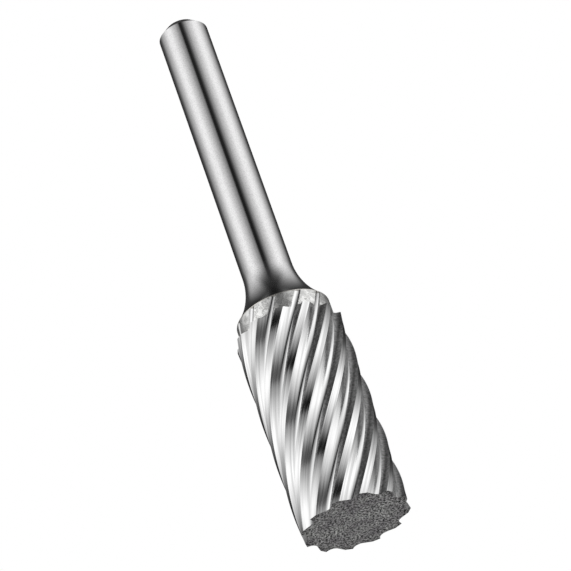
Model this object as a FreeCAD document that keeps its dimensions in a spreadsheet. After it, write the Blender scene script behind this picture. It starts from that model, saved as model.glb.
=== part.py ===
# Carbide burr, cylindrical, for a die grinder. Millimetres, +Z up the shank, origin at the centre
# of the head's flat end face, on which the burr stands.
import FreeCAD
import Part
import Sketcher
import math
import os

os.makedirs("parts", exist_ok=True)
doc = FreeCAD.newDocument("carbide_burr")
Vector = FreeCAD.Vector

# Driving sizes, in millimetres and degrees
sheet = doc.addObject("Spreadsheet::Sheet", "Sizes")
driving_sizes = [
    ("head_diameter", 12.7),
    ("cut_length", 25.4),
    ("hub_diameter", 11.1),
    ("hub_length", 2.1),
    ("shoulder_rise", 0.2),
    ("tooth_count", 12),
    ("helix_angle", 30),
    ("relief_width", 0.81),
    ("relief_drop", 0.135),
    ("tooth_depth", 0.86),
    ("floor_width", 0.6),
    ("negative_rake", 29),
    ("braze_thickness", 0.1),
    ("shank_diameter", 6),
    ("neck_radius", 9.5),
    ("shank_chamfer", 1.1),
    ("overall_length", 70),
]
for row, (alias, value) in enumerate(driving_sizes, start=1):
    sheet.set(f"A{row}", alias)
    sheet.set(f"B{row}", str(value))
    sheet.setAlias(f"B{row}", alias)
doc.recompute()

# Names for the two ends and the centre of a sketched piece, and for the sketch's own axes and origin
START, END, CENTRE = range(1, 4)
UPRIGHT_AXIS, LEVEL_AXIS = range(-2, 0)
ORIGIN = (LEVEL_AXIS, START)


def size(alias):
    return float(sheet.get(alias))


def polar(radius, angle):
    return Vector(radius * math.cos(angle), radius * math.sin(angle), 0)


def new_body(label):
    body = doc.addObject("PartDesign::Body", label)
    body.Label = label
    return body


def new_sketch(body, name, role):
    plane = next(feature for feature in body.Origin.OriginFeatures if feature.Role == role)
    sketch = body.newObject("Sketcher::SketchObject", name)
    sketch.AttachmentSupport = [(plane, "")]
    sketch.MapMode = "FlatFace"
    return sketch


def bind(sketch, name, expression, kind, where, drawn):
    # a dimension, first as drawn and from then on driven by the sheet
    index = sketch.addConstraint(Sketcher.Constraint(kind, *where, drawn))
    sketch.renameConstraint(index, name)
    sketch.setExpression(f"Constraints.{name}", expression)


def bind_across(sketch, name, corner, expression):
    drawn = sketch.getPoint(*corner).x
    bind(sketch, f"{name}_across", expression, "DistanceX", (*ORIGIN, *corner), drawn)


def bind_up(sketch, name, corner, expression):
    drawn = sketch.getPoint(*corner).y
    bind(sketch, f"{name}_up", expression, "DistanceY", (*ORIGIN, *corner), drawn)


def join(sketch, first, second, kind="Coincident"):
    sketch.addConstraint(Sketcher.Constraint(kind, *first, *second))


def draw_line(sketch, start, end):
    return sketch.addGeometry(Part.LineSegment(start, end))


def draw_arc(sketch, centre, radius, start_angle, end_angle):
    circle = Part.Circle(centre, Vector(0, 0, 1), radius)
    return sketch.addGeometry(Part.ArcOfCircle(circle, start_angle, end_angle))


# The fluted cross-section, as a slice as thick as a tooth is deep
tooth_section = new_body("tooth_section")
head_radius = size("head_diameter") / 2
slice_outline = new_sketch(tooth_section, "slice_outline", "XY_Plane")
rim = slice_outline.addGeometry(Part.Circle(Vector(0, 0, 0), Vector(0, 0, 1), head_radius))
join(slice_outline, (rim, CENTRE), ORIGIN)
bind(slice_outline, "rim_radius", "Sizes.head_diameter / 2", "Radius", (rim,), head_radius)
plain_slice = tooth_section.newObject("PartDesign::Pad", "plain_slice")
plain_slice.Profile = slice_outline
plain_slice.setExpression("Length", "Sizes.tooth_depth")

# One gullet. The first cutting edge is on +X, and a tooth's back lies anticlockwise of its edge, so the
# burr cuts clockwise seen from the shank. Behind each edge are a relieved land and the steeper back, which
# goes down to the gullet's narrow flat floor. The rake face of the next tooth leads up out of the floor.
tooth_pitch = math.radians(360 / size("tooth_count"))
relief_angle = size("relief_width") / head_radius
rake_direction = tooth_pitch + math.radians(size("negative_rake"))
root_radius = head_radius - size("tooth_depth")
first_edge = polar(head_radius, 0)
land_heel = polar(head_radius - size("relief_drop"), relief_angle)
next_edge = polar(head_radius, tooth_pitch)

# both corners of the floor lie on the circle of the roots
along = next_edge.dot(polar(1, rake_direction))
descent = along - math.sqrt(along ** 2 - head_radius ** 2 + root_radius ** 2)
rake_foot = next_edge - polar(descent, rake_direction)
floor_angle = 2 * math.asin(size("floor_width") / 2 / root_radius)
back_foot = polar(root_radius, math.atan2(rake_foot.y, rake_foot.x) - floor_angle)
outside_next = polar(2 * head_radius, tooth_pitch)
outside_first = polar(2 * head_radius, 0)

gullet = new_sketch(tooth_section, "gullet", "XY_Plane")
gullet_outline = [first_edge, land_heel, back_foot, rake_foot, next_edge, outside_next, outside_first]
gullet_sides = []
for number, corner in enumerate(gullet_outline):
    gullet_sides.append(draw_line(gullet, corner, gullet_outline[(number + 1) % len(gullet_outline)]))
for number, side in enumerate(gullet_sides):
    join(gullet, (gullet_sides[number - 1], END), (side, START))
land, back, gullet_floor, rake_face, way_out, outside, way_in = gullet_sides

radius_text = "Sizes.head_diameter / 2"
pitch_text = "360 deg / Sizes.tooth_count"
relief_text = f"1 rad * Sizes.relief_width / ({radius_text})"
gullet_corners = [
    ("first_edge", (land, START), radius_text, "0 deg"),
    ("land_heel", (land, END), f"({radius_text} - Sizes.relief_drop)", relief_text),
    ("next_edge", (rake_face, END), radius_text, pitch_text),
    ("outside_next", (way_out, END), "Sizes.head_diameter", pitch_text),
    ("outside_first", (outside, END), "Sizes.head_diameter", "0 deg"),
]
for name, corner, radius_of, angle_of in gullet_corners:
    bind_across(gullet, name, corner, f"{radius_of} * cos({angle_of})")
    bind_up(gullet, name, corner, f"{radius_of} * sin({angle_of})")
root_text = f"{radius_text} - Sizes.tooth_depth"
bind(gullet, "back_foot_out", root_text, "Distance", (*ORIGIN, gullet_floor, START), root_radius)
bind(gullet, "rake_foot_out", root_text, "Distance", (*ORIGIN, gullet_floor, END), root_radius)
bind(gullet, "floor_width", "Sizes.floor_width", "Distance", (gullet_floor,), size("floor_width"))
rake_text = f"{pitch_text} + Sizes.negative_rake * 1 deg"
bind(gullet, "rake_direction", rake_text, "Angle", (rake_face,), rake_direction)

ground_gullet = tooth_section.newObject("PartDesign::Pocket", "ground_gullet")
ground_gullet.Profile = gullet
ground_gullet.Type = "ThroughAll"
ground_gullet.Midplane = True
doc.recompute()
fluted_slice = tooth_section.newObject("PartDesign::PolarPattern", "fluted_slice")
fluted_slice.Originals = [ground_gullet]
fluted_slice.Axis = (slice_outline, ["N_Axis"])
fluted_slice.Angle = 360
fluted_slice.setExpression("Occurrences", "Sizes.tooth_count")
tooth_section.Tip = fluted_slice
doc.recompute()

# The carbide head: its cross-section, twisted up the axis with the lead of the helix, and turned down
# behind the teeth to the hub. The flutes run on across the hub, to its flat back.
cutting_head = new_body("cutting_head")
faces = fluted_slice.Shape.Faces
lowest = min(range(len(faces)), key=lambda number: faces[number].BoundBox.ZMax)
head_section = cutting_head.newObject("PartDesign::SubShapeBinder", "head_section")
head_section.Support = [(fluted_slice, (f"Face{lowest + 1}",))]
head_length_text = "Sizes.cut_length + Sizes.hub_length"
head_length = size("cut_length") + size("hub_length")
centre_line = new_sketch(cutting_head, "centre_line", "XZ_Plane")
spine = draw_line(centre_line, Vector(0, 0, 0), Vector(0, head_length, 0))
join(centre_line, (spine, START), ORIGIN)
join(centre_line, (spine, END), (UPRIGHT_AXIS,), "PointOnObject")
bind_up(centre_line, "head_length", (spine, END), head_length_text)
edge_helix = doc.addObject("Part::Helix", "edge_helix")
edge_helix.setExpression("Radius", radius_text)
edge_helix.setExpression("Height", head_length_text)
edge_helix.setExpression("Pitch", "pi * Sizes.head_diameter / tan(Sizes.helix_angle * 1 deg)")
doc.recompute()
twisted_bar = cutting_head.newObject("PartDesign::AdditivePipe", "twisted_bar")
twisted_bar.Profile = (head_section, ["Face1"])
twisted_bar.Spine = (centre_line, ["Edge1"])
twisted_bar.Mode = "Auxiliary"
twisted_bar.AuxiliarySpine = (edge_helix, ["Edge1"])
twisted_bar.AuxiliaryCurvilinear = True
doc.recompute()
full_volume = twisted_bar.Shape.Volume

hub_radius = size("hub_diameter") / 2
shoulder_foot = Vector(hub_radius, size("cut_length") + size("shoulder_rise"), 0)
shoulder_far = Vector(2 * head_radius - hub_radius, size("cut_length") - size("shoulder_rise"), 0)
past_back = head_length + size("hub_length")
far_up = Vector(shoulder_far.x, past_back, 0)
near_up = Vector(hub_radius, past_back, 0)
hub_turning = new_sketch(cutting_head, "hub_turning", "XZ_Plane")
shoulder = draw_line(hub_turning, shoulder_foot, shoulder_far)
outer_side = draw_line(hub_turning, shoulder_far, far_up)
upper_side = draw_line(hub_turning, far_up, near_up)
hub_side = draw_line(hub_turning, near_up, shoulder_foot)
join(hub_turning, (shoulder, END), (outer_side, START))
join(hub_turning, (outer_side, END), (upper_side, START))
join(hub_turning, (upper_side, END), (hub_side, START))
join(hub_turning, (hub_side, END), (shoulder, START))
far_text = "Sizes.head_diameter - Sizes.hub_diameter / 2"
past_back_text = "Sizes.cut_length + 2 * Sizes.hub_length"
hub_text = "Sizes.hub_diameter / 2"
turning_corners = [
    ("shoulder_foot", (shoulder, START), hub_text, "Sizes.cut_length + Sizes.shoulder_rise"),
    ("shoulder_far", (shoulder, END), far_text, "Sizes.cut_length - Sizes.shoulder_rise"),
    ("far_up", (outer_side, END), far_text, past_back_text),
    ("near_up", (upper_side, END), hub_text, past_back_text),
]
for name, corner, across, up in turning_corners:
    bind_across(hub_turning, name, corner, across)
    bind_up(hub_turning, name, corner, up)
turned_hub = cutting_head.newObject("PartDesign::Groove", "turned_hub")
turned_hub.Profile = hub_turning
turned_hub.ReferenceAxis = (hub_turning, ["V_Axis"])
turned_hub.Angle = 360
cutting_head.Tip = turned_hub
doc.recompute()
if turned_hub.Shape.Volume >= full_volume:
    raise RuntimeError("the hub wasn't turned down behind the teeth")

# The thin layer of solder between the hub's back and the shank's face
braze_layer = doc.addObject("Part::Cylinder", "braze_layer")
braze_layer.Label = "braze_layer"
braze_layer.setExpression("Radius", "Sizes.hub_diameter / 2")
braze_layer.setExpression("Height", "Sizes.braze_thickness")
braze_layer.setExpression("Placement.Base.z", head_length_text)

# The steel shank, turned in one piece: flat face, flared neck, ground round shank and chamfered end
shank_radius = size("shank_diameter") / 2
face_height = head_length + size("braze_thickness")
neck_radius = size("neck_radius")
neck_centre_across = shank_radius + neck_radius
neck_height = math.sqrt(neck_radius ** 2 - (neck_centre_across - hub_radius) ** 2)
neck_top = face_height + neck_height
flare_angle = math.pi + math.asin(neck_height / neck_radius)
shank_top = size("overall_length")
chamfer_foot = Vector(shank_radius, shank_top - size("shank_chamfer"), 0)
chamfer_top = Vector(shank_radius - size("shank_chamfer"), shank_top, 0)

steel_shank = new_body("steel_shank")
shank_outline = new_sketch(steel_shank, "shank_outline", "XZ_Plane")
flat_face = draw_line(shank_outline, Vector(0, face_height, 0), Vector(hub_radius, face_height, 0))
neck_centre = Vector(neck_centre_across, neck_top, 0)
neck = draw_arc(shank_outline, neck_centre, neck_radius, math.pi, flare_angle)
round_side = draw_line(shank_outline, Vector(shank_radius, neck_top, 0), chamfer_foot)
chamfer = draw_line(shank_outline, chamfer_foot, chamfer_top)
end_face = draw_line(shank_outline, chamfer_top, Vector(0, shank_top, 0))
axis_side = draw_line(shank_outline, Vector(0, shank_top, 0), Vector(0, face_height, 0))
join(shank_outline, (flat_face, END), (neck, END))
join(shank_outline, (neck, START), (round_side, START), "Tangent")
join(shank_outline, (round_side, END), (chamfer, START))
join(shank_outline, (chamfer, END), (end_face, START))
join(shank_outline, (end_face, END), (axis_side, START))
join(shank_outline, (axis_side, END), (flat_face, START))
join(shank_outline, (axis_side, START), (UPRIGHT_AXIS,), "PointOnObject")
join(shank_outline, (axis_side, END), (UPRIGHT_AXIS,), "PointOnObject")
for level in (flat_face, end_face):
    shank_outline.addConstraint(Sketcher.Constraint("Horizontal", level))
shank_outline.addConstraint(Sketcher.Constraint("Vertical", round_side))
shank_text = "Sizes.shank_diameter / 2"
bind(shank_outline, "neck_radius", "Sizes.neck_radius", "Radius", (neck,), neck_radius)
bind_across(shank_outline, "face_edge", (flat_face, END), hub_text)
bind_up(shank_outline, "face_edge", (flat_face, END), f"{head_length_text} + Sizes.braze_thickness")
bind_across(shank_outline, "neck_top", (round_side, START), shank_text)
bind_up(shank_outline, "chamfer_foot", (chamfer, START), "Sizes.overall_length - Sizes.shank_chamfer")
bind_across(shank_outline, "chamfer_top", (chamfer, END), f"{shank_text} - Sizes.shank_chamfer")
bind_up(shank_outline, "chamfer_top", (chamfer, END), "Sizes.overall_length")
turned_shank = steel_shank.newObject("PartDesign::Revolution", "turned_shank")
turned_shank.Profile = shank_outline
turned_shank.ReferenceAxis = (shank_outline, ["V_Axis"])
turned_shank.Angle = 360
steel_shank.Tip = turned_shank
doc.recompute()

for feature in doc.Objects:
    if "Invalid" in feature.State or "Error" in feature.State:
        raise RuntimeError(f"{feature.Name} wasn't built: {feature.State}")
for piece in (cutting_head, braze_layer, steel_shank):
    if piece.Shape.isNull() or not piece.Shape.isValid() or len(piece.Shape.Solids) != 1:
        raise RuntimeError(f"{piece.Label} isn't one sound solid")
    print(piece.Label, round(piece.Shape.Volume, 2), "mm3")
    piece.Shape.exportStep(f"parts/{piece.Label}.step")
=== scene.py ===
import math

import bmesh
import bpy
from mathutils import Matrix, Vector


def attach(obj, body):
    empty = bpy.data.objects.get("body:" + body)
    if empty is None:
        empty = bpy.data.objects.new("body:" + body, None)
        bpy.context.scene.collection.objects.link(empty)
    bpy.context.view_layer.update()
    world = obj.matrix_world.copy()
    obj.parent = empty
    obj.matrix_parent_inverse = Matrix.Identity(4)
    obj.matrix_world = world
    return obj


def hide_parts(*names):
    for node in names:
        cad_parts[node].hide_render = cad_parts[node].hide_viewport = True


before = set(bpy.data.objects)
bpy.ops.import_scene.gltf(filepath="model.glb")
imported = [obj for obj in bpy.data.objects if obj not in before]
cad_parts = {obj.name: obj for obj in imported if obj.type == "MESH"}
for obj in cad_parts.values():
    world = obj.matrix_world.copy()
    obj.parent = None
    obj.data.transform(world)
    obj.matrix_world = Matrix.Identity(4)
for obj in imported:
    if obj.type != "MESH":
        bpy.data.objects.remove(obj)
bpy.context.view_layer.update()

# The cutting head: one piece of sintered tungsten carbide, with twelve right-hand flutes ground the full
# length by a diamond wheel, and turned down behind the teeth to a plain hub. Each tooth has a relieved
# land behind its edge, a steeper back and a round gullet, from which the straight rake face of the next
# tooth leads up to its edge.
MM = 0.001
head_radius = 6.35 * MM
cut_length = 25.4 * MM
hub_radius = 5.55 * MM
hub_length = 2.1 * MM
shoulder_rise = 0.2 * MM
tooth_count = 12
helix_lead = 2 * math.pi * head_radius / math.tan(math.radians(30))
land_width = 0.95 * MM
land_drop = 0.16 * MM
gullet_radius = 0.9 * MM
gullet_depth = 0.84 * MM
negative_rake = math.radians(15)
depth_change = 0.1
rake_start = math.radians(24)
screw_step = 0.2 * MM


def polar(radius, angle, height=0.0):
    return Vector((radius * math.cos(angle), radius * math.sin(angle), height))


def tooth_outline():
    """Points of one tooth's section, from its cutting edge to just short of the next one's."""
    pitch = 2 * math.pi / tooth_count
    edge = polar(head_radius, 0)
    heel = polar(head_radius - land_drop, land_width / head_radius)
    # the gullet's arc touches the circle of the roots and the rake face, and the back touches the arc
    next_edge = polar(head_radius, pitch)
    rake_down = polar(-1, pitch + negative_rake)
    off_rake = Vector((-rake_down.y, rake_down.x, 0))
    beside = next_edge + off_rake * gullet_radius
    centre_distance = head_radius - gullet_depth + gullet_radius
    along = beside.dot(rake_down)
    descent = -along - math.sqrt(along ** 2 - beside.length ** 2 + centre_distance ** 2)
    centre = beside + rake_down * descent
    to_heel = heel - centre
    back_angle = math.atan2(to_heel.y, to_heel.x) - math.acos(gullet_radius / to_heel.length) + 2 * math.pi
    rake_angle = math.atan2(-off_rake.y, -off_rake.x)
    points = [edge.lerp(heel, part / 3) for part in range(4)]
    points += [heel.lerp(centre + polar(gullet_radius, back_angle), part / 4) for part in (1, 2, 3)]
    arc_step = math.radians(8)
    steps = math.ceil((back_angle - rake_angle) / arc_step)
    for part in range(steps + 1):
        points.append(centre + polar(gullet_radius, back_angle + (rake_angle - back_angle) * part / steps))
    rake_foot = points[-1]
    points += [rake_foot.lerp(next_edge, part / 3) for part in range(1, 4)]
    # one more point wherever the outline goes through what becomes the hub's surface
    met_radius = head_radius - (head_radius - hub_radius) / (1 + depth_change)
    outline_points = []
    for start, end in zip(points, points[1:]):
        outline_points.append(start)
        share = (start.length - met_radius) / (start.length - end.length)
        if 0 < share < 1:
            outline_points.append(start.lerp(end, share))
    return outline_points


def ring_of(mesh, points):
    """A closed ring of new corners and edges through these points."""
    corners = [mesh.verts.new(point) for point in points]
    edges = [mesh.edges.new((corners[i - 1], corners[i])) for i in range(len(corners))]
    return corners, edges


def screw_up(mesh, corners, edges, rise, steps):
    """Sweeps a ring up the axis along the helix, and returns the ring at its end."""
    turn = 2 * math.pi * rise / helix_lead
    swept = bmesh.ops.spin(
        mesh, geom=corners + edges, cent=(0, 0, 0), axis=(0, 0, 1),
        dvec=(0, 0, rise / steps), angle=turn, steps=steps, use_duplicate=False,
    )["geom_last"]
    last_corners = [part for part in swept if isinstance(part, bmesh.types.BMVert)]
    last_edges = [part for part in swept if isinstance(part, bmesh.types.BMEdge)]
    return last_corners, last_edges


def lift_along_helix(corner, height):
    """Moves a corner along its own helix to another height."""
    turn = 2 * math.pi * (height - corner.co.z) / helix_lead
    corner.co = Matrix.Rotation(turn, 3, "Z") @ corner.co
    corner.co.z = height


def finish_piece(mesh, name, sharp_angle):
    """Makes an object of a mesh, smooth but for its creases."""
    weld_distance = 0.0005 * MM
    bmesh.ops.remove_doubles(mesh, verts=mesh.verts, dist=weld_distance)
    bmesh.ops.recalc_face_normals(mesh, faces=mesh.faces)
    for face in mesh.faces:
        face.smooth = True
    for edge in mesh.edges:
        if len(edge.link_faces) == 2 and edge.calc_face_angle() > sharp_angle:
            edge.smooth = False
    data = bpy.data.meshes.new(name)
    mesh.to_mesh(data)
    mesh.free()
    piece = bpy.data.objects.new(name, data)
    bpy.context.collection.objects.link(piece)
    return piece


head_mesh = bmesh.new()
outline = []
for tooth in range(tooth_count):
    turn = Matrix.Rotation(2 * math.pi * tooth / tooth_count, 3, "Z")
    outline += [turn @ point for point in tooth_outline()]
ring = ring_of(head_mesh, outline)
end_face = head_mesh.faces.new(ring[0])
toothed_steps = round(cut_length / screw_step)
top_corners, top_edges = screw_up(head_mesh, *ring, cut_length, toothed_steps)
# the wheel was fed in a little as it went, so the flutes are deepest at the hub
for corner in head_mesh.verts:
    depth = head_radius - corner.co.xy.length
    deeper = depth * depth_change * (2 * corner.co.z / cut_length - 1)
    corner.co.xy *= 1 - deeper / corner.co.xy.length
# the shoulder: the ring's outer corners come in to the hub's radius, a little higher up
hub_ring = bmesh.ops.extrude_edge_only(head_mesh, edges=top_edges)["geom"]
hub_corners = [part for part in hub_ring if isinstance(part, bmesh.types.BMVert)]
hub_edges = [part for part in hub_ring if isinstance(part, bmesh.types.BMEdge) and part.is_boundary]
for corner in hub_corners:
    lift_along_helix(corner, cut_length + shoulder_rise)
    reach = corner.co.xy.length
    if reach > hub_radius:
        corner.co.xy *= hub_radius / reach
hub_steps = round((hub_length - shoulder_rise) / screw_step)
last_corners, last_edges = screw_up(head_mesh, hub_corners, hub_edges, hub_length - shoulder_rise, hub_steps)
bmesh.ops.contextual_create(head_mesh, geom=last_edges)
head = finish_piece(head_mesh, "cutting_head_ground", math.radians(20))


def add_node(tree, kind, values=(), links=(), **settings):
    """Adds a node. values are (socket, number) pairs, and links are (socket, output that feeds it) pairs."""
    node = tree.nodes.new(kind)
    for setting, value in settings.items():
        setattr(node, setting, value)
    for socket, value in values:
        node.inputs[socket].default_value = value
    for socket, output in links:
        tree.links.new(output, node.inputs[socket])
    return node


def new_material(name):
    """A material with a plain shader, and its node tree."""
    material = bpy.data.materials.new(name)
    material.use_nodes = True
    tree = material.node_tree
    tree.nodes.clear()
    shader = add_node(tree, "ShaderNodeBsdfPrincipled")
    add_node(tree, "ShaderNodeOutputMaterial", links=[("Surface", shader.outputs["BSDF"])])
    return material, tree, shader


def object_place(tree):
    """Where a point lies on the object."""
    return add_node(tree, "ShaderNodeTexCoord").outputs["Object"]


def noise(tree, place, scale, detail, roughness=0.5):
    """Noise from 0 to 1. The scale is the number of its waves in a metre."""
    node = add_node(
        tree, "ShaderNodeTexNoise",
        values=[("Scale", scale), ("Detail", detail), ("Roughness", roughness)], links=[("Vector", place)],
    )
    return node.outputs[0]


def graded(tree, source, start, end, low=0.0, high=1.0, kind="SMOOTHSTEP"):
    """Goes from low to high as the source goes from start to end."""
    node = add_node(
        tree, "ShaderNodeMapRange", interpolation_type=kind,
        values=[("From Min", start), ("From Max", end), ("To Min", low), ("To Max", high)],
        links=[("Value", source)],
    )
    return node.outputs["Result"]


def colour_ramp(tree, source, stops, interpolation="LINEAR"):
    """A colour for each level of the source. stops are (level, colour) pairs, and a number is a grey."""
    node = add_node(tree, "ShaderNodeValToRGB", links=[("Fac", source)])
    node.color_ramp.interpolation = interpolation
    elements = node.color_ramp.elements
    while len(elements) < len(stops):
        elements.new(1.0)
    for element, (level, colour) in zip(elements, stops):
        element.position = level
        element.color = (*colour, 1) if isinstance(colour, tuple) else (colour, colour, colour, 1)
    return node.outputs["Color"]


def shaded(tree, colour, shade):
    """A colour multiplied by a shade."""
    node = add_node(
        tree, "ShaderNodeMixRGB", blend_type="MULTIPLY", values=[("Fac", 1.0)],
        links=[("Color1", colour), ("Color2", shade)],
    )
    return node.outputs["Color"]


def roughen(tree, shader, pattern, strength, height):
    """Gives the surface fine bumps that follow a pattern."""
    bump = add_node(
        tree, "ShaderNodeBump",
        values=[("Strength", strength), ("Distance", height)], links=[("Height", pattern)],
    )
    tree.links.new(bump.outputs["Normal"], shader.inputs["Normal"])


# Ground carbide: bright, with fine grinding lines that run along the flutes. The pattern's space is turned
# back by the helix, so that it follows the flutes.
ground_carbide, tree, shader = new_material("ground_carbide")
shader.inputs["Metallic"].default_value = 1.0
place = object_place(tree)
split = add_node(tree, "ShaderNodeSeparateXYZ", links=[("Vector", place)])
helix_turn = add_node(
    tree, "ShaderNodeMath", operation="MULTIPLY",
    values=[(1, -2 * math.pi / helix_lead)], links=[(0, split.outputs["Z"])],
)
unwound = add_node(
    tree, "ShaderNodeVectorRotate", rotation_type="Z_AXIS",
    links=[("Vector", place), ("Angle", helix_turn.outputs[0])],
)
stretched = add_node(
    tree, "ShaderNodeMapping",
    values=[("Scale", (1, 1, 0.03))], links=[("Vector", unwound.outputs["Vector"])],
)
grinding_lines = noise(tree, stretched.outputs["Vector"], 3000.0, 5.0)
line_colour = colour_ramp(tree, grinding_lines, [(0.38, 0.48), (0.6, 0.7)])
line_gloss = graded(tree, grinding_lines, 0.0, 1.0, 0.08, 0.24, "LINEAR")
tree.links.new(line_colour, shader.inputs["Base Color"])
tree.links.new(line_gloss, shader.inputs["Roughness"])
roughen(tree, shader, grinding_lines, 0.45, 0.03 * MM)

# The rake faces: ground by the worn edge of the wheel, so rougher than the rest of the flutes, and coloured
# much darker as painted shade
shaded_rake_carbide, tree, shader = new_material("shaded_rake_carbide")
shader.inputs["Metallic"].default_value = 1.0
shader.inputs["Roughness"].default_value = 0.4
grit_marks = noise(tree, object_place(tree), 3500.0, 4.0)
# painted shade: the rake faces' very dark colour stands in for the shade they show between the bright lands
rake_shade_colour = colour_ramp(tree, grit_marks, [(0.35, 0.14), (0.65, 0.3)])
tree.links.new(rake_shade_colour, shader.inputs["Base Color"])

# As-sintered carbide, left unground on the end face: matt dark grey with a fine sparkling grain, faintly
# clouded, and darker towards the rim
sintered_carbide, tree, shader = new_material("sintered_carbide")
shader.inputs["Metallic"].default_value = 0.4
shader.inputs["Roughness"].default_value = 0.6
place = object_place(tree)
grain = noise(tree, place, 3800.0, 3.0, 0.9)
grain_colour = colour_ramp(tree, grain, [(0.47, 0.015), (0.55, (0.75, 0.75, 0.735))])
clouds = noise(tree, place, 450.0, 2.0)
cloud_shade = colour_ramp(tree, clouds, [(0.36, (0.62, 0.6, 0.63)), (0.62, 1.0)])
off_centre = add_node(tree, "ShaderNodeVectorMath", operation="LENGTH", links=[(0, place)])
rim_shade = graded(tree, off_centre.outputs["Value"], 5.1 * MM, 6.3 * MM, 1.0, 0.55)
end_colour = shaded(tree, shaded(tree, grain_colour, cloud_shade), rim_shade)
tree.links.new(end_colour, shader.inputs["Base Color"])
roughen(tree, shader, grain, 0.5, 0.03 * MM)

# The hub's skin: turned before sintering, so a lighter satin grey with faint blotches, ripples and veins
hub_carbide, tree, shader = new_material("hub_carbide")
shader.inputs["Metallic"].default_value = 1.0
shader.inputs["Roughness"].default_value = 0.36
blotches = noise(tree, object_place(tree), 1600.0, 2.0)
skin_levels = [(0.36, 0.46), (0.47, 0.64), (0.5, 0.28), (0.53, 0.66), (0.62, 0.72)]
skin_stops = [(level, (grey, grey, grey * 0.985)) for level, grey in skin_levels]
tree.links.new(colour_ramp(tree, blotches, skin_stops), shader.inputs["Base Color"])
roughen(tree, shader, blotches, 0.6, 0.05 * MM)

for finish in (ground_carbide, sintered_carbide, hub_carbide, shaded_rake_carbide):
    head.data.materials.append(finish)
sintered_slot, hub_slot, raked_slot = 1, 2, 3
tooth_pitch = 2 * math.pi / tooth_count
hub_tolerance = 0.02 * MM
# the flat faces are as sintered, the hub's outside keeps its skin, and the rest is ground
for polygon in head.data.polygons:
    middle = polygon.center
    turned_back = math.atan2(middle.y, middle.x) - 2 * math.pi * middle.z / helix_lead
    if abs(polygon.normal.z) > 0.8:
        polygon.material_index = sintered_slot
    elif middle.z > cut_length and middle.xy.length > hub_radius - hub_tolerance:
        polygon.material_index = hub_slot
    elif turned_back % tooth_pitch > rake_start:
        polygon.material_index = raked_slot
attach(head, "root")
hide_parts("cutting_head")

# The shank: one steel bar, turned with a flared neck as wide as the hub, then ground round to 6 mm, with
# a chamfer on its free end. Its flat face is brazed to the head.
shank_radius = 3.0 * MM
neck_radius = 9.5 * MM
shank_chamfer = 1.1 * MM
overall_length = 70.0 * MM
solder_thickness = 0.1 * MM
face_height = cut_length + hub_length + solder_thickness
neck_centre = shank_radius + neck_radius
neck_height = math.sqrt(neck_radius ** 2 - (neck_centre - hub_radius) ** 2)
shank_steps = 192

profile = [Vector((0, 0, face_height)), Vector((hub_radius, 0, face_height))]
flare_angle = math.asin(neck_height / neck_radius)
flare_steps = 24
for step in range(1, flare_steps + 1):
    angle = flare_angle * (1 - step / flare_steps)
    across = neck_centre - neck_radius * math.cos(angle)
    profile.append(Vector((across, 0, face_height + neck_height - neck_radius * math.sin(angle))))
profile.append(Vector((shank_radius, 0, overall_length - shank_chamfer)))
profile.append(Vector((shank_radius - shank_chamfer, 0, overall_length)))
profile.append(Vector((0, 0, overall_length)))
shank_mesh = bmesh.new()
profile_corners = [shank_mesh.verts.new(point) for point in profile]
profile_edges = [shank_mesh.edges.new(pair) for pair in zip(profile_corners, profile_corners[1:])]
bmesh.ops.spin(
    shank_mesh, geom=profile_corners + profile_edges, cent=(0, 0, 0), axis=(0, 0, 1),
    angle=2 * math.pi, steps=shank_steps, use_merge=True, use_duplicate=False,
)
shank = finish_piece(shank_mesh, "steel_shank_turned", math.radians(25))

# Ground steel: satin, with a fine grain and marks round and round, rougher close to the joint, and coloured
# darker there as painted shade
ground_steel, tree, shader = new_material("ground_steel")
shader.inputs["Metallic"].default_value = 1.0
place = object_place(tree)
height = add_node(tree, "ShaderNodeSeparateXYZ", links=[("Vector", place)]).outputs["Z"]
off_joint = graded(tree, height, face_height + 0.4 * MM, face_height + 3.6 * MM)
# painted shade: the steel's colour goes dark towards the joint with the hub, standing in for shade there
joint_shade_colour = colour_ramp(tree, off_joint, [(0.0, 0.13), (1.0, (0.575, 0.572, 0.575))])
fine_grain = noise(tree, place, 6000.0, 2.0)
grain_shade = colour_ramp(tree, fine_grain, [(0.3, 0.84), (0.6, 1.0)])
joint_gloss = graded(tree, height, face_height, face_height + 7 * MM, 0.24, 0.09, "LINEAR")
tree.links.new(shaded(tree, joint_shade_colour, grain_shade), shader.inputs["Base Color"])
tree.links.new(joint_gloss, shader.inputs["Roughness"])
drawn_round = add_node(
    tree, "ShaderNodeMapping",
    values=[("Scale", (0.06, 0.06, 1))], links=[("Vector", place)],
)
round_marks = noise(tree, drawn_round.outputs["Vector"], 9000.0, 3.0)
roughen(tree, shader, round_marks, 0.1, 0.02 * MM)
shank.data.materials.append(ground_steel)
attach(shank, "root")
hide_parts("steel_shank")

# The solder: a thin film of silver solder, squeezed out flush between the hub's back and the shank's face
solder, tree, shader = new_material("silver_solder")
shader.inputs["Metallic"].default_value = 1.0
shader.inputs["Roughness"].default_value = 0.35
flow_marks = noise(tree, object_place(tree), 1500.0, 3.0)
solder_colour = colour_ramp(tree, flow_marks, [(0.0, (0.33, 0.32, 0.3)), (1.0, (0.6, 0.585, 0.55))])
tree.links.new(solder_colour, shader.inputs["Base Color"])
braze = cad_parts["braze_layer"]
braze.data.materials.clear()
braze.data.materials.append(solder)

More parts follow.
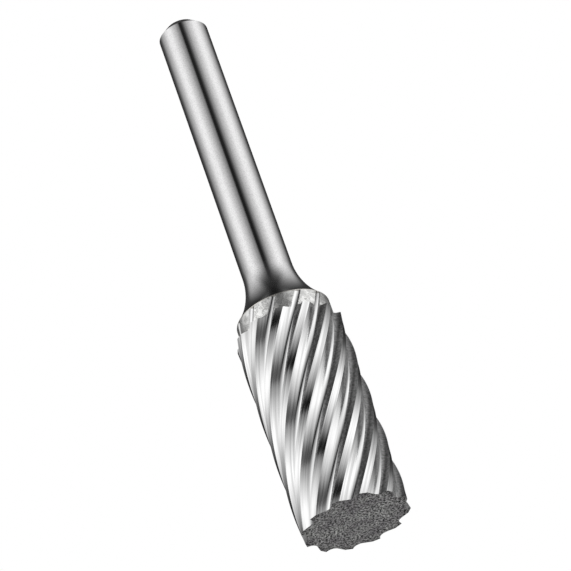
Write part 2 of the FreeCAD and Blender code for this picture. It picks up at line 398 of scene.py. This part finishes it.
# The studio: a soft light tent, bright at both sides, with a dark gap behind the camera and a dark far
# side, a soft lamp high up at each side, and faint light from overhead and from the ground in front. The
# pale floor is seen through from below.
camera_azimuth = math.radians(-102.33)
gap_aside = math.radians(5.5)
world = bpy.data.worlds.new("light_tent")
bpy.context.scene.world = world
world.use_nodes = True
tree = world.node_tree
tree.nodes.clear()
out = add_node(tree, "ShaderNodeOutputWorld")
direction = add_node(tree, "ShaderNodeTexCoord")
turned = add_node(
    tree, "ShaderNodeVectorRotate", rotation_type="Z_AXIS",
    values=[("Angle", -camera_azimuth - gap_aside)], links=[("Vector", direction.outputs["Generated"])],
)
parts = add_node(tree, "ShaderNodeSeparateXYZ", links=[("Vector", turned.outputs["Vector"])])


def calculate(operation, first, second=0.5):
    """A maths node in the studio's tree. Each of the two is another node's output, or a number."""
    node = add_node(tree, "ShaderNodeMath", operation=operation)
    for socket, value in enumerate((first, second)):
        if isinstance(value, bpy.types.NodeSocket):
            tree.links.new(value, node.inputs[socket])
        else:
            node.inputs[socket].default_value = value
    return node.outputs[0]


def lamps(azimuth, height, spread):
    """A soft round lamp at each side, brightest in its middle and dark beyond the angle of its spread."""
    azimuth, height, spread = math.radians(azimuth), math.radians(height), math.radians(spread)
    sideways = calculate("ABSOLUTE", parts.outputs["Y"])
    along = calculate("MULTIPLY", parts.outputs["X"], math.cos(height) * math.cos(azimuth))
    along = calculate("ADD", along, calculate("MULTIPLY", sideways, math.cos(height) * math.sin(azimuth)))
    along = calculate("ADD", along, calculate("MULTIPLY", parts.outputs["Z"], math.sin(height)))
    return graded(tree, along, math.cos(spread), 1.0)


around = calculate("DIVIDE", calculate("ARCTAN2", parts.outputs["Y"], parts.outputs["X"]), 2 * math.pi)
# the gap has a crisp edge on the left and a soft one on the right
left = [(-180, 0.03), (-145, 0.03), (-125, 0.2), (-95, 0.62), (-70, 1.0), (-50, 0.86), (-25, 0.43)]
gap = [(-15, 0.25), (-11, 0.14), (-8, 0.004), (0, 0.0), (5, 0.024), (10, 0.095), (15, 0.215)]
right = [(25, 0.43), (50, 0.86), (70, 1.0), (95, 0.65), (125, 0.165), (145, 0.02), (180, 0.03)]
stops = [(angle / 360 + 0.5, brightness) for angle, brightness in left + gap + right]
ring_light = colour_ramp(tree, calculate("ADD", around, 0.5), stops, "CARDINAL")
walls = calculate("MULTIPLY", ring_light, graded(tree, parts.outputs["Z"], 1.0, 0.6))
upper_lamps = calculate("MULTIPLY", lamps(110, 59, 27), 0.28)
overhead = calculate("MULTIPLY", graded(tree, parts.outputs["Z"], 0.3, 0.8), 0.03)
low_down = graded(tree, parts.outputs["Z"], 0.25, -0.05)
in_front = graded(tree, parts.outputs["X"], 0.1, 0.7)
ground_glow = calculate("MULTIPLY", calculate("MULTIPLY", low_down, in_front), 0.09)
light = calculate("ADD", calculate("ADD", walls, upper_lamps), calculate("ADD", overhead, ground_glow))
tent_light = add_node(tree, "ShaderNodeBackground", links=[("Strength", calculate("MULTIPLY", light, 1.5))])
tent_light.inputs["Color"].default_value = (1, 1, 1, 1)
white = add_node(tree, "ShaderNodeBackground", values=[("Color", (1, 1, 1, 1)), ("Strength", 1.0)])
path = add_node(tree, "ShaderNodeLightPath")
mixed = add_node(
    tree, "ShaderNodeMixShader",
    links=[(0, path.outputs["Is Camera Ray"]), (1, tent_light.outputs[0]), (2, white.outputs[0])],
)
tree.links.new(mixed.outputs[0], out.inputs["Surface"])

floor_mesh = bmesh.new()
bmesh.ops.create_grid(floor_mesh, x_segments=1, y_segments=1, size=1.5)
floor_data = bpy.data.meshes.new("floor")
floor_mesh.to_mesh(floor_data)
floor_mesh.free()
floor = bpy.data.objects.new("floor", floor_data)
bpy.context.collection.objects.link(floor)
floor_drop = 0.02 * MM
floor.location.z = -floor_drop
pale, tree, shader = new_material("pale_floor")
shader.inputs["Base Color"].default_value = (0.85, 0.85, 0.85, 1)
shader.inputs["Roughness"].default_value = 0.9
geometry = add_node(tree, "ShaderNodeNewGeometry")
path = add_node(tree, "ShaderNodeLightPath")
from_above = calculate("SUBTRACT", 1.0, geometry.outputs["Backfacing"])
shown = calculate("MULTIPLY", from_above, path.outputs["Is Camera Ray"])
through = add_node(tree, "ShaderNodeBsdfTransparent")
mixed = add_node(
    tree, "ShaderNodeMixShader",
    links=[(0, shown), (1, through.outputs[0]), (2, shader.outputs[0])],
)
output = next(node for node in tree.nodes if node.type == "OUTPUT_MATERIAL")
tree.links.new(mixed.outputs[0], output.inputs["Surface"])
floor.data.materials.append(pale)

# The camera looks up at the burr from under its end face, rolled so that the burr leans to the left
camera_place = Vector((-74.0, -338.75, -171.5)) * MM
heading = math.radians(77.44)
climb = math.radians(30.34)
roll = math.radians(19.70)
forward = Vector((math.cos(climb) * math.cos(heading), math.cos(climb) * math.sin(heading), math.sin(climb)))
level = forward.cross(Vector((0, 0, 1))).normalized()
upright = level.cross(forward)
across = level * math.cos(roll) - upright * math.sin(roll)
upward = across.cross(forward)
camera_data = bpy.data.cameras.new("camera")
camera_data.sensor_width = 36
camera_data.lens = 220.66
camera = bpy.data.objects.new("camera", camera_data)
bpy.context.collection.objects.link(camera)
turned = Matrix((across, upward, -forward)).transposed()
camera.matrix_world = Matrix.Translation(camera_place) @ turned.to_4x4()
camera_data.clip_start = 0.01
camera_data.clip_end = 20
bpy.context.scene.camera = camera
bpy.context.scene.view_settings.view_transform = "Standard"
